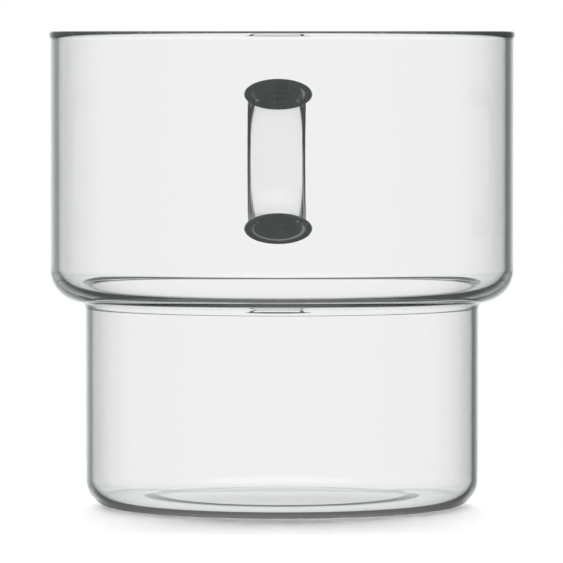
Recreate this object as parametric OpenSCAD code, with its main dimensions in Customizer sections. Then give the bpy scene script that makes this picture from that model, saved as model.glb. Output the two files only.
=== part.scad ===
// Stepped drinking glass: a blown, thin-walled cup with a wide upper bowl over a narrow lower one,
// and a bent flat glass rod fused to the upper bowl as its handle.
// The cup's axis is Z, it stands on z = 0, and the handle is on the +Y side.

/* [Cup] */
// Outside diameter of the upper bowl
upper_d = 78; // [74:1:90]
// Width of the step from the lower bowl out to the upper bowl
step_w = 5.9; // [3:0.1:10]
// Height from the table to the top of the rim
cup_h = 80; // [77:1:110]
// Thickness of the upper bowl's wall
wall = 1.3; // [1:0.05:2]
// Thickness of the lower bowl's wall
lower_wall = 1; // [0.8:0.05:2]
// Thickness of the fire-polished bead round the rim
bead_d = 1.5; // [1.3:0.1:2.4]

/* [Shoulder] */
// Height where the outside of the upper bowl starts to turn in
shoulder_h = 39.85; // [36:0.05:42]
// Outside radius of the round shoulder
shoulder_r = 5.3; // [5:0.1:8]
// Radius of the fillet under the shoulder
neck_r = 1.3; // [0.5:0.1:3]
// How much smaller the inside radius of the shoulder is than the outside one
shoulder_less = 1.35; // [1:0.05:2.6]
// How much higher the inside starts to turn in than the outside
inner_rise = 0.25; // [0:0.05:1.5]
// Radius of the rounded edge inside the neck
inner_neck_r = 2.7; // [1.5:0.1:4]

/* [Base] */
// Outside radius of the corner between the lower bowl and the base
corner_r = 4.5; // [3.6:0.1:6]
// How much smaller the inside radius of that corner is than the outside one
corner_less = 0.9; // [0.5:0.05:2.4]
// Thickness of the base
base_t = 1; // [0.8:0.1:2.4]
// Width of the flat ring that the glass stands on
ring_w = 7.2; // [2:0.1:12]
// Rise of the pushed-up middle of the base
punt_h = 1.6; // [0.6:0.1:3]
// How much wider the pushed-up middle is on the inside
punt_spread = 2; // [0:0.1:2.4]

/* [Handle] */
// Width of the flat rod
rod_w = 10.7; // [8:0.1:14]
// Thickness of the flat rod
rod_t = 4.8; // [3.4:0.2:5.4]
// How far the handle's middle sits below the middle of the straight upper wall
handle_drop = 2.7; // [0:0.05:4]
// Distance between the middles of the two legs
leg_gap = 23.5; // [20:0.5:25]
// Distance from the upper bowl to the outer face of the grip
reach = 23; // [18:0.5:32]
// How far the melted foot of each leg spreads past the rod
flare_w = 0.8; // [0.3:0.1:1.2]
// Length of leg over which the foot spreads
flare_l = 2.2; // [1.4:0.1:3]
// How far each foot reaches into the bowl before it is cut to the bowl's curve
foot_in = 0.3; // [0.1:0.1:0.6]

/* [Hidden] */
$fn = 180;

// Outside and inside of the cup, measured from its axis
upper_r = upper_d / 2;
lower_r = upper_r - step_w;
upper_bore_r = upper_r - wall;
lower_bore_r = lower_r - lower_wall;

// The bead is flush with the inside of the wall and stands out a little on the outside
bead_r = bead_d / 2;
bead_mid = upper_bore_r + bead_r;
bead_h = cup_h - bead_r;

// The pushed-up middle is part of a large sphere on each side
punt_r = lower_r - corner_r - ring_w;
punt_fn = 1440;

// The handle's rod: two straight legs and a half circle
handle_h = (shoulder_h + cup_h) / 2 - handle_drop;
turn_r = leg_gap / 2;
rod_r = rod_t / 2;
rod_flat = rod_w - rod_t;
turn_y = upper_r + reach - rod_r - turn_r;

// Each leg starts inside the bowl's curve, also at the sides of its foot, where the bowl falls away
foot_half_w = rod_w / 2 + flare_w;
foot_y = sqrt(upper_r * upper_r - foot_half_w * foot_half_w) - foot_in;
leg_l = turn_y - foot_y;

// Filled half section of a stepped bowl: two radii, the height and radius of its shoulder,
// the radius of the neck under it, the height of its bottom and the radius of its bottom corner
module bowl_outline(upper, lower, turn_h, shoulder, neck, bottom, corner) {
    // The two circles touch, or a flat ledge joins them on a wide step
    round_sum = shoulder + neck;
    overhang = max(round_sum - upper + lower, 0);
    drop = sqrt(round_sum * round_sum - overhang * overhang);
    neck_h = turn_h - drop;
    touch_x = lower + neck - neck * overhang / round_sum;
    // Upper bowl
    translate([0, turn_h])
        square([upper, bead_h - turn_h]);
    // Shoulder
    translate([upper - shoulder, turn_h])
        circle(r = shoulder);
    translate([0, turn_h - shoulder])
        square([upper - shoulder, shoulder]);
    // Neck
    difference() {
        translate([0, neck_h])
            square([touch_x, neck * drop / round_sum]);
        translate([lower + neck, neck_h])
            circle(r = neck);
    }
    // Lower bowl
    translate([0, bottom + corner])
        square([lower, turn_h - bottom - corner]);
    // Bottom and its corner
    translate([lower - corner, bottom + corner])
        circle(r = corner);
    translate([0, bottom])
        square([lower - corner, corner]);
}

// Filled half section of the pushed-up middle, standing on a height
module punt_outline(foot_h, radius) {
    sphere_r = (radius * radius + punt_h * punt_h) / (2 * punt_h);
    intersection() {
        translate([0, foot_h + punt_h - sphere_r])
            circle(r = sphere_r, $fn = punt_fn);
        translate([0, foot_h])
            square([radius, punt_h]);
    }
}

// Half section of the glass wall
module cup_wall() {
    difference() {
        bowl_outline(upper_r, lower_r, shoulder_h, shoulder_r, neck_r, 0, corner_r);
        difference() {
            bowl_outline(upper_bore_r, lower_bore_r, shoulder_h + inner_rise, shoulder_r - shoulder_less,
                inner_neck_r, base_t, corner_r - corner_less);
            punt_outline(base_t, punt_r + punt_spread);
        }
        punt_outline(0, punt_r);
    }
    translate([bead_mid, bead_h])
        circle(r = bead_r);
}

// Blown cup in one piece, from the base to the bead
module cup_body() {
    color([0.88, 0.91, 0.91, 0.45])
        rotate_extrude()
            cup_wall();
}

// Cross section of the flat rod, wide along X
module rod_section() {
    square([rod_flat, rod_t], center = true);
    for (side = [-1, 1])
        translate([side * rod_flat / 2, 0])
            circle(r = rod_r);
}

// Half profile of a leg's spreading foot, from the middle of the rod outwards
module flare_profile() {
    polygon([[0, 0], [rod_r + flare_w, 0], [rod_r, flare_l], [0, flare_l]]);
}

// One leg with its melted foot, standing along +Z from the end that meets the bowl
module leg() {
    linear_extrude(leg_l)
        rod_section();
    for (side = [-1, 1])
        translate([side * rod_flat / 2, 0, 0])
            rotate_extrude()
                flare_profile();
    rotate([90, 0, 90])
        linear_extrude(rod_flat, center = true) {
            flare_profile();
            mirror([1, 0])
                flare_profile();
        }
}

// Half circle that joins the legs, bent about an axis along X
module grip() {
    rotate([0, 90, 0])
        rotate_extrude(angle = 180)
            translate([turn_r, 0])
                rotate(90)
                    rod_section();
}

// Bent flat rod, its feet cut to the curve of the bowl that they are fused to
module handle() {
    color([0.78, 0.83, 0.83, 0.6])
        difference() {
            translate([0, turn_y, handle_h]) {
                grip();
                for (side = [-1, 1])
                    translate([0, -leg_l, side * turn_r])
                        rotate([-90, 0, 0])
                            leg();
            }
            cylinder(r = upper_r, h = cup_h);
        }
}

cup_body();
handle();
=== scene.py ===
"""Stepped drinking glass with a fused handle: the looks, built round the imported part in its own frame."""

import math

import bmesh
import bpy
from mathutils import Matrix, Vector


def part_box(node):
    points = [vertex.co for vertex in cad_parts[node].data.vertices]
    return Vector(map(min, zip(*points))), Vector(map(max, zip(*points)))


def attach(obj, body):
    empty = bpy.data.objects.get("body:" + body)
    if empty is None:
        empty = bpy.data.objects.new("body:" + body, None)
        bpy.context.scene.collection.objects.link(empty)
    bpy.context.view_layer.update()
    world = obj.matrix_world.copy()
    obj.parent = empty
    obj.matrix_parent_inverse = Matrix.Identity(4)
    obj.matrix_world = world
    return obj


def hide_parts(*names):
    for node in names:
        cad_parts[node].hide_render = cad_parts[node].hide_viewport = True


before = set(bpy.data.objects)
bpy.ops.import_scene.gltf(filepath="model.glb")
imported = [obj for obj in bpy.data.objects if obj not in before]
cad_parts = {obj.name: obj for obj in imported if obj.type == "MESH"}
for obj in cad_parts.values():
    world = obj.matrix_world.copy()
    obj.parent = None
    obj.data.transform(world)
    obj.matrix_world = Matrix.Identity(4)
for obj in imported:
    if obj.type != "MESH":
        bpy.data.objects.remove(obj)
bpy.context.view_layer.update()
MM = 0.001

# Sizes of the cup, in metres. Its height and its widest radius come from the frame.
WALL = 1.3 * MM
LOWER_WALL = 1.0 * MM
STEP_W = 5.9 * MM
BEAD_D = 1.5 * MM
RIM_OUTER_R = 0.42 * MM
RIM_INNER_R = BEAD_D - RIM_OUTER_R
SHOULDER_H = 39.85 * MM
SHOULDER_R = 5.3 * MM
SHOULDER_LESS = 1.35 * MM
NECK_R = 1.3 * MM
INNER_RISE = 0.25 * MM
INNER_NECK_R = 2.7 * MM
CORNER_R = 4.5 * MM
CORNER_LESS = 0.9 * MM
BASE_T = 1.0 * MM
PUNT_R = 21.4 * MM
PUNT_SPREAD = 2.0 * MM
PUNT_H = 1.6 * MM
CUP_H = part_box("cup_body")[1].z
UPPER_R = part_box("cup_body")[1].x + WALL - BEAD_D
BORE_R = UPPER_R - WALL
LOWER_R = UPPER_R - STEP_W

# Sizes of the handle. Its reach and its height come from the frame.
ROD_W = 10.7 * MM
ROD_T = 4.8 * MM
LEG_GAP = 23.5 * MM
FLARE_W = 0.75 * MM
FLARE_T = 0.3 * MM
FLARE_L = 0.9 * MM
FOLLOW_L = 2.5 * MM
FUSE_GAP = 0.01 * MM
SEAT_R = UPPER_R + FUSE_GAP
HANDLE_LOW, HANDLE_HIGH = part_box("handle")

# How finely the meshes are divided
LATHE_STEPS = 360
CORNER_STEPS = 28
LOWER_STEPS = 24
NECK_STEPS = 18
SHOULDER_STEPS = 32
UPPER_STEPS = 30
DOME_STEPS = 24
BASE_RING_STEPS = 12
BASE_FLOOR_STEPS = 6
BEAD_STEPS = 12
RIM_OUTER_STEPS = 10
RIM_INNER_STEPS = 28
ROD_POINTS = 72
LEG_STEPS = 26
TURN_STEPS = 40
CAP_SHARES = (0.75, 0.5, 0.25)
SAME_POINT = 1e-6

# Clear glass with a faint tint in its depth and the faint waviness of a blown surface
GLASS_IOR = 1.474
GLASS_COLOUR = (0.80, 0.86, 0.85, 1)
GLASS_DENSITY = 8.0
WAVE_SCALE = 90.0
WAVE_DETAIL = 1.0
WAVE_DEPTH = 0.01 * MM

# Pale round floor, which turns clear to mirrored light outside the foot of the glass. Inside the foot,
# mirrored light sees it glow at a dim level: a painted shade under the base.
FLOOR_R = 0.12
FLOOR_STEPS = 96
FLOOR_DROP = 0.05 * MM
FLOOR_ALBEDO = 0.95
FLOOR_CLEAR_W = 3 * MM
# Painted shade under the glass: the dim level at which mirrored light sees the floor inside the foot
UNDER_SHADE_LEVEL = 0.14

# White panel behind the glass, as the glass mirrors it. It fades out between two angles from +Y, in degrees.
# Between two heights of the direction, both below the horizon, it changes over to a wider panel.
PANEL_INNER, PANEL_OUTER = 8, 26
LOW_INNER, LOW_OUTER = 9, 33
LOW_FULL, LOW_START = -0.22, -0.12

# The rest of the mirrored studio: its sides, darker below, its front and its top, and its faint tint
LEFT_LEVEL = 0.36
RIGHT_LEVEL = 0.22
SIDE_BLEND = 0.15
BELOW_LEVEL = 0.08
BELOW_FULL, BELOW_START = -0.30, -0.02
FRONT_LEVEL = 0.06
FRONT_START, FRONT_FULL = 75, 110
TOP_LEVEL = 1.0
TOP_START, TOP_FULL = 0.77, 0.97
TINT = (0.95, 1, 0.995, 1)

# How often light was mirrored or scattered: counts above these are once or more, a few times and many times.
# Light that the glass mirrored a few times has one even level, and light that it mirrored many times another.
AT_LEAST_ONCE = 0.5
DEEP_FROM = 2.5
DEEP_LEVEL = 0.055
GUIDED_FROM = 7.5
GUIDED_LEVEL = 0.25

# Lamps that light the floor: one overhead, and two bands behind the glass.
# A band rises between its first two heights and falls between its last two.
LAMP_LEVEL = 2.2
LAMP_START, LAMP_FULL = 0.92, 0.96
BACK_LEVEL = 16.0
BACK_BAND = (0.40, 0.46, 0.60, 0.66)
UPPER_BACK_LEVEL = 2.5
UPPER_BACK_BAND = (0.80, 0.84, 0.92, 0.96)
BACK_INNER, BACK_OUTER = 60, 70

# Camera, level with the rim
CAMERA_DISTANCE = 1.02
CAMERA_TURN = 1.0
CAMERA_AIM = Vector((-0.085 * MM, 0, 37.8 * MM))
CAMERA_LENS = 386.9
CAMERA_SENSOR = 36
CAMERA_CLIP_END = 50

# Light passes the thin walls many times before it leaves them
MAX_BOUNCES = 96
GLASS_BOUNCES = 64


def arc(mid, radius, start, end, count):
    """Points along a circle in the half section, from one angle to another, in degrees."""
    angles = [math.radians(start + (end - start) * i / count) for i in range(count + 1)]
    return [(mid[0] + radius * math.cos(a), mid[1] + radius * math.sin(a)) for a in angles]


def line(a, b, count):
    """Points along a straight stretch, closer together near both ends."""
    shares = [0.5 - 0.5 * math.cos(math.pi * i / count) for i in range(count + 1)]
    return [(a[0] + (b[0] - a[0]) * s, a[1] + (b[1] - a[1]) * s) for s in shares]


def dome(radius, height, foot, count):
    """Points along a shallow dome, from its edge up to the axis."""
    sphere_r = (radius ** 2 + height ** 2) / (2 * height)
    edge = math.degrees(math.acos(radius / sphere_r))
    return arc((0, foot + height - sphere_r), sphere_r, edge, 90, count)


def joined(*stretches):
    """One run of points from several stretches, without repeated points."""
    points = []
    for stretch in stretches:
        for point in stretch:
            if not points or math.dist(point, points[-1]) > SAME_POINT:
                points.append(point)
    return points


def bowl_run(upper, lower, turn_h, shoulder, neck, bottom, corner, top):
    """Points up the side of a stepped bowl, from its bottom corner to a height."""
    round_sum = shoulder + neck
    drop = math.sqrt(round_sum ** 2 - (round_sum - upper + lower) ** 2)
    shoulder_mid = (upper - shoulder, turn_h)
    neck_mid = (lower + neck, turn_h - drop)
    touch = math.degrees(math.atan2(drop, shoulder_mid[0] - neck_mid[0]))
    return joined(
        arc((lower - corner, bottom + corner), corner, -90, 0, CORNER_STEPS),
        line((lower, bottom + corner), (lower, neck_mid[1]), LOWER_STEPS),
        arc(neck_mid, neck, 180, touch, NECK_STEPS),
        arc(shoulder_mid, shoulder, touch - 180, 0, SHOULDER_STEPS),
        line((upper, turn_h), (upper, top), UPPER_STEPS),
    )


def cup_section():
    """Half section of the glass wall, from the middle of the underside round to the middle of the floor."""
    bead_r = BEAD_D / 2
    bead_mid = (BORE_R + bead_r, CUP_H - bead_r)
    bead_start = -math.degrees(math.acos((WALL - bead_r) / bead_r))
    bead_foot = bead_mid[1] + bead_r * math.sin(math.radians(bead_start))
    rim_mid = BORE_R + RIM_INNER_R
    outside = bowl_run(UPPER_R, LOWER_R, SHOULDER_H, SHOULDER_R, NECK_R, 0, CORNER_R, bead_foot)
    inside = bowl_run(BORE_R, LOWER_R - LOWER_WALL, SHOULDER_H + INNER_RISE, SHOULDER_R - SHOULDER_LESS,
                      INNER_NECK_R, BASE_T, CORNER_R - CORNER_LESS, CUP_H - RIM_INNER_R)
    inner_punt_r = PUNT_R + PUNT_SPREAD
    return joined(
        reversed(dome(PUNT_R, PUNT_H, 0, DOME_STEPS)),
        line((PUNT_R, 0), outside[0], BASE_RING_STEPS),
        outside,
        arc(bead_mid, bead_r, bead_start, 0, BEAD_STEPS),
        arc((rim_mid, CUP_H - RIM_OUTER_R), RIM_OUTER_R, 0, 90, RIM_OUTER_STEPS),
        arc((rim_mid, CUP_H - RIM_INNER_R), RIM_INNER_R, 90, 180, RIM_INNER_STEPS),
        reversed(inside),
        line(inside[0], (inner_punt_r, BASE_T), BASE_FLOOR_STEPS),
        dome(inner_punt_r, PUNT_H, BASE_T, DOME_STEPS),
    )


def mesh_object(name, points, faces):
    """A smooth mesh object from points and faces, with its faces turned outwards."""
    mesh = bpy.data.meshes.new(name)
    mesh.from_pydata(points, [], faces)
    work = bmesh.new()
    work.from_mesh(mesh)
    bmesh.ops.recalc_face_normals(work, faces=work.faces)
    work.to_mesh(mesh)
    work.free()
    mesh.shade_smooth()
    piece = bpy.data.objects.new(name, mesh)
    bpy.context.scene.collection.objects.link(piece)
    return piece


def make_cup():
    """The blown cup: its half section turned round the axis, closed at both ends on the axis."""
    section = cup_section()
    inner = section[1:-1]
    count = len(inner)
    points = [(0, 0, section[0][1]), (0, 0, section[-1][1])]
    for step in range(LATHE_STEPS):
        turn = 2 * math.pi * step / LATHE_STEPS
        points += [(r * math.cos(turn), r * math.sin(turn), z) for r, z in inner]
    faces = []
    for step in range(LATHE_STEPS):
        here = 2 + step * count
        there = 2 + (step + 1) % LATHE_STEPS * count
        faces.append((0, there, here))
        faces.append((1, here + count - 1, there + count - 1))
        faces += [(here + i, there + i, there + i + 1, here + i + 1) for i in range(count - 1)]
    return mesh_object("cup", points, faces)


def handle_path():
    """Middle of the rod from the upper foot to the lower one: (y, z, turn, distance from the nearer foot)."""
    turn_r = LEG_GAP / 2
    turn_y = HANDLE_HIGH.y - ROD_T / 2 - turn_r
    leg_l = turn_y - SEAT_R
    mid_h = (HANDLE_LOW.z + HANDLE_HIGH.z) / 2
    half = [(y, turn_r, 0.0, y - SEAT_R) for y, _ in line((SEAT_R, 0), (turn_y, 0), LEG_STEPS)]
    for i in range(1, TURN_STEPS + 1):
        turn = math.pi / 2 * i / TURN_STEPS
        half.append((turn_y + turn_r * math.sin(turn), turn_r * math.cos(turn), turn, leg_l + turn_r * turn))
    lower = [(y, -h, math.pi - turn, from_foot) for y, h, turn, from_foot in reversed(half[:-1])]
    return [(y, mid_h + h, turn, from_foot) for y, h, turn, from_foot in half + lower]


def rod_ring(y, z, turn, from_foot):
    """One oval ring of the rod, wide along X. Near a foot it swells and follows the bowl."""
    swell = math.exp(-from_foot / FLARE_L)
    half_w = ROD_W / 2 + FLARE_W * swell
    half_t = ROD_T / 2 + FLARE_T * swell
    follow = math.exp(-(from_foot / FOLLOW_L) ** 2)
    ring = []
    for i in range(ROD_POINTS):
        angle = 2 * math.pi * i / ROD_POINTS
        x = half_w * math.cos(angle)
        across = half_t * math.sin(angle)
        fall = follow * (SEAT_R - math.sqrt(SEAT_R ** 2 - x ** 2))
        ring.append((x, y + across * math.sin(turn) - fall, z + across * math.cos(turn)))
    return ring


def band_faces(a, b):
    """Faces between two rings of the rod that start at two places in the list of points."""
    pairs = [(i, (i + 1) % ROD_POINTS) for i in range(ROD_POINTS)]
    return [(a + i, a + j, b + j, b + i) for i, j in pairs]


def make_handle():
    """The bent flat rod, one closed sweep whose two feet lie on the bowl."""
    path = handle_path()
    points, faces, rings = [], [], []
    for place in path:
        rings.append(len(points))
        points += rod_ring(*place)
    for a, b in zip(rings, rings[1:]):
        faces += band_faces(a, b)
    for foot, foot_z in ((rings[0], path[0][1]), (rings[-1], path[-1][1])):
        edge = points[foot:foot + ROD_POINTS]
        outer = foot
        for share in CAP_SHARES:
            inner = len(points)
            for x, _, z in edge:
                x *= share
                points.append((x, math.sqrt(SEAT_R ** 2 - x ** 2), foot_z + (z - foot_z) * share))
            faces += band_faces(outer, inner)
            outer = inner
        middle = len(points)
        points.append((0, SEAT_R, foot_z))
        faces += [(outer + i, outer + (i + 1) % ROD_POINTS, middle) for i in range(ROD_POINTS)]
    return mesh_object("handle", points, faces)


def glass(name):
    """Clear glass, smooth but for its waviness."""
    material = bpy.data.materials.new(name)
    material.use_nodes = True
    nodes, links = material.node_tree.nodes, material.node_tree.links
    shader = nodes["Principled BSDF"]
    shader.inputs["Base Color"].default_value = (1, 1, 1, 1)
    shader.inputs["Roughness"].default_value = 0.0
    shader.inputs["IOR"].default_value = GLASS_IOR
    shader.inputs["Transmission Weight"].default_value = 1.0
    place = nodes.new("ShaderNodeTexCoord")
    waves = nodes.new("ShaderNodeTexNoise")
    waves.inputs["Scale"].default_value = WAVE_SCALE
    waves.inputs["Detail"].default_value = WAVE_DETAIL
    links.new(place.outputs["Object"], waves.inputs["Vector"])
    bump = nodes.new("ShaderNodeBump")
    bump.inputs["Strength"].default_value = 1.0
    bump.inputs["Distance"].default_value = WAVE_DEPTH
    links.new(waves.outputs["Fac"], bump.inputs["Height"])
    links.new(bump.outputs["Normal"], shader.inputs["Normal"])
    depth = nodes.new("ShaderNodeVolumeAbsorption")
    depth.inputs["Color"].default_value = GLASS_COLOUR
    depth.inputs["Density"].default_value = GLASS_DENSITY
    links.new(depth.outputs["Volume"], nodes["Material Output"].inputs["Volume"])
    return material


class Shading:
    """Adds nodes to a node tree and gives their outputs."""

    def __init__(self, tree):
        self.nodes, self.links = tree.nodes, tree.links
        self.path = self.nodes.new("ShaderNodeLightPath").outputs

    def feed(self, socket, value):
        """Set a socket to a number, or link an output to it."""
        if isinstance(value, (int, float)):
            socket.default_value = value
        else:
            self.links.new(value, socket)

    def calc(self, kind, a, b=0.0):
        """A sum or test of one or two values."""
        node = self.nodes.new("ShaderNodeMath")
        node.operation = kind
        self.feed(node.inputs[0], a)
        self.feed(node.inputs[1], b)
        return node.outputs["Value"]

    def ramp(self, value, start, end, low, high):
        """A smooth step from low to high while the value goes from start to end."""
        node = self.nodes.new("ShaderNodeMapRange")
        node.interpolation_type = "SMOOTHSTEP"
        names = ("Value", "From Min", "From Max", "To Min", "To Max")
        for name, number in zip(names, (value, start, end, low, high)):
            self.feed(node.inputs[name], number)
        return node.outputs["Result"]

    def ramp_angle(self, value, start, end, low, high):
        """A smooth step whose start and end are in degrees."""
        return self.ramp(value, math.radians(start), math.radians(end), low, high)

    def mix(self, share, a, b):
        """A blend from a to b."""
        node = self.nodes.new("ShaderNodeMix")
        self.feed(node.inputs["Factor"], share)
        self.feed(node.inputs["A"], a)
        self.feed(node.inputs["B"], b)
        return node.outputs["Result"]

    def axes(self, vector):
        """The three parts of a vector."""
        node = self.nodes.new("ShaderNodeSeparateXYZ")
        self.links.new(vector, node.inputs["Vector"])
        return node.outputs["X"], node.outputs["Y"], node.outputs["Z"]

    def mirrored_over(self, times):
        """1 for light that was mirrored more often than this."""
        return self.calc("GREATER_THAN", self.path["Glossy Depth"], times)

    def before_floor(self):
        """1 for light that the floor hasn't scattered."""
        return self.calc("LESS_THAN", self.path["Diffuse Depth"], AT_LEAST_ONCE)

    def from_glass(self):
        """1 for light on its way from the glass that the floor hasn't scattered."""
        smooth = self.calc("MAXIMUM", self.path["Is Glossy Ray"], self.path["Is Transmission Ray"])
        return self.calc("MULTIPLY", smooth, self.before_floor())

    def held(self, level):
        """The level, or the even level of light that was mirrored often in the glass."""
        level = self.mix(self.mirrored_over(DEEP_FROM), level, DEEP_LEVEL)
        return self.mix(self.mirrored_over(GUIDED_FROM), level, GUIDED_LEVEL)


def floor_material():
    """Pale and dull. Light through the glass sees it white. Mirrored light sees it clear outside the foot,
    and glowing dim inside it as a painted shade under the glass.
    """
    material = bpy.data.materials.new("floor")
    material.use_nodes = True
    nodes, links = material.node_tree.nodes, material.node_tree.links
    shading = Shading(material.node_tree)
    calc = shading.calc

    pale = nodes["Principled BSDF"]
    pale.inputs["Base Color"].default_value = (FLOOR_ALBEDO, FLOOR_ALBEDO, FLOOR_ALBEDO, 1)
    pale.inputs["Roughness"].default_value = 1.0
    pale.inputs["Specular IOR Level"].default_value = 0.0

    mirrored = shading.mirrored_over(AT_LEAST_ONCE)
    glow = nodes.new("ShaderNodeEmission")
    # Painted shade: mirrored light sees the floor under the glass glow at the dim level
    links.new(shading.held(shading.mix(mirrored, 1.0, UNDER_SHADE_LEVEL)), glow.inputs["Strength"])
    from_glass = shading.from_glass()
    seen = nodes.new("ShaderNodeMixShader")
    links.new(from_glass, seen.inputs["Fac"])
    links.new(pale.outputs["BSDF"], seen.inputs[1])
    links.new(glow.outputs["Emission"], seen.inputs[2])

    x, y, _ = shading.axes(nodes.new("ShaderNodeNewGeometry").outputs["Position"])
    from_axis = calc("SQRT", calc("ADD", calc("MULTIPLY", x, x), calc("MULTIPLY", y, y)))
    beyond = shading.ramp(from_axis, LOWER_R - FLOOR_CLEAR_W, LOWER_R, 0, 1)
    clear = nodes.new("ShaderNodeMixShader")
    links.new(calc("MULTIPLY", from_glass, calc("MULTIPLY", mirrored, beyond)), clear.inputs["Fac"])
    links.new(seen.outputs["Shader"], clear.inputs[1])
    links.new(nodes.new("ShaderNodeBsdfTransparent").outputs["BSDF"], clear.inputs[2])
    links.new(clear.outputs["Shader"], nodes["Material Output"].inputs["Surface"])
    return material


def make_floor():
    """Plain round sheet just under the glass."""
    turns = [2 * math.pi * i / FLOOR_STEPS for i in range(FLOOR_STEPS)]
    edge = [(FLOOR_R * math.cos(turn), FLOOR_R * math.sin(turn), -FLOOR_DROP) for turn in turns]
    floor = mesh_object("floor", edge, [tuple(range(FLOOR_STEPS))])
    floor.data.materials.append(floor_material())


def mirrored_studio(shading, x, y, z):
    """Brightness of the studio by direction, as the glass mirrors it."""
    ramp, ramp_angle, mix = shading.ramp, shading.ramp_angle, shading.mix
    from_back = shading.calc("ARCCOSINE", y)
    side = ramp(x, -SIDE_BLEND, SIDE_BLEND, LEFT_LEVEL, RIGHT_LEVEL)
    side = mix(ramp(z, BELOW_FULL, BELOW_START, 1, 0), side, BELOW_LEVEL)
    panel = ramp_angle(from_back, PANEL_INNER, PANEL_OUTER, 1, 0)
    low_panel = ramp_angle(from_back, LOW_INNER, LOW_OUTER, 1, 0)
    panel = mix(ramp(z, LOW_FULL, LOW_START, 1, 0), panel, low_panel)
    room = mix(ramp_angle(from_back, FRONT_START, FRONT_FULL, 0, 1), mix(panel, side, 1.0), FRONT_LEVEL)
    return shading.held(shading.calc("MAXIMUM", room, ramp(z, TOP_START, TOP_FULL, 0, TOP_LEVEL)))


def studio_lamps(shading, x, y, z):
    """Brightness of the studio by direction, as it lights the floor."""
    calc, ramp = shading.calc, shading.ramp

    def band(level, rise_start, rise_end, fall_start, fall_end):
        return calc("MULTIPLY", ramp(z, rise_start, rise_end, 0, level), ramp(z, fall_start, fall_end, 1, 0))

    round_angle = calc("ABSOLUTE", calc("ARCTAN2", x, y))
    behind = shading.ramp_angle(round_angle, BACK_INNER, BACK_OUTER, 1, 0)
    back = calc("ADD", band(BACK_LEVEL, *BACK_BAND), band(UPPER_BACK_LEVEL, *UPPER_BACK_BAND))
    return calc("ADD", ramp(z, LAMP_START, LAMP_FULL, 0, LAMP_LEVEL), calc("MULTIPLY", behind, back))


def make_world():
    """White behind the glass and straight through it, and a soft studio round it."""
    world = bpy.data.worlds.new("studio")
    bpy.context.scene.world = world
    world.use_nodes = True
    nodes, links = world.node_tree.nodes, world.node_tree.links
    nodes.clear()
    shading = Shading(world.node_tree)
    calc, path = shading.calc, shading.path

    x, y, z = shading.axes(nodes.new("ShaderNodeTexCoord").outputs["Generated"])
    from_glass = shading.from_glass()
    level = shading.mix(from_glass, studio_lamps(shading, x, y, z), mirrored_studio(shading, x, y, z))
    unmirrored = calc("LESS_THAN", path["Glossy Depth"], AT_LEAST_ONCE)
    first_pass = calc("MULTIPLY", unmirrored, shading.before_floor())
    through = calc("MULTIPLY", path["Is Transmission Ray"], first_pass)
    straight = calc("MAXIMUM", path["Is Camera Ray"], through)
    level = shading.mix(straight, level, 1.0)

    tint = nodes.new("ShaderNodeMix")
    tint.data_type = "RGBA"
    links.new(calc("MULTIPLY", from_glass, calc("SUBTRACT", 1.0, straight)), tint.inputs["Factor"])
    tint.inputs["A"].default_value = (1, 1, 1, 1)
    tint.inputs["B"].default_value = TINT
    glow = nodes.new("ShaderNodeBackground")
    links.new(level, glow.inputs["Strength"])
    links.new(tint.outputs["Result"], glow.inputs["Color"])
    links.new(glow.outputs["Background"], nodes.new("ShaderNodeOutputWorld").inputs["Surface"])


def make_camera():
    """Level with the rim, about a metre in front, aimed a little down."""
    data = bpy.data.cameras.new("camera")
    data.sensor_width = CAMERA_SENSOR
    data.lens = CAMERA_LENS
    data.clip_end = CAMERA_CLIP_END
    camera = bpy.data.objects.new("camera", data)
    bpy.context.scene.collection.objects.link(camera)
    turn = math.radians(CAMERA_TURN)
    camera.location = (-CAMERA_DISTANCE * math.sin(turn), -CAMERA_DISTANCE * math.cos(turn), CUP_H)
    camera.rotation_euler = (CAMERA_AIM - camera.location).to_track_quat("-Z", "Y").to_euler()
    bpy.context.scene.camera = camera


cup = make_cup()
cup.data.materials.append(glass("cup_glass"))
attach(cup, "root")
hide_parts("cup_body")

handle = make_handle()
handle.data.materials.append(glass("handle_glass"))
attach(handle, "root")
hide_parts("handle")

make_floor()
make_world()
make_camera()

scene = bpy.context.scene
scene.view_settings.view_transform = "Standard"
scene.cycles.max_bounces = MAX_BOUNCES
scene.cycles.transmission_bounces = GLASS_BOUNCES
scene.cycles.glossy_bounces = GLASS_BOUNCES
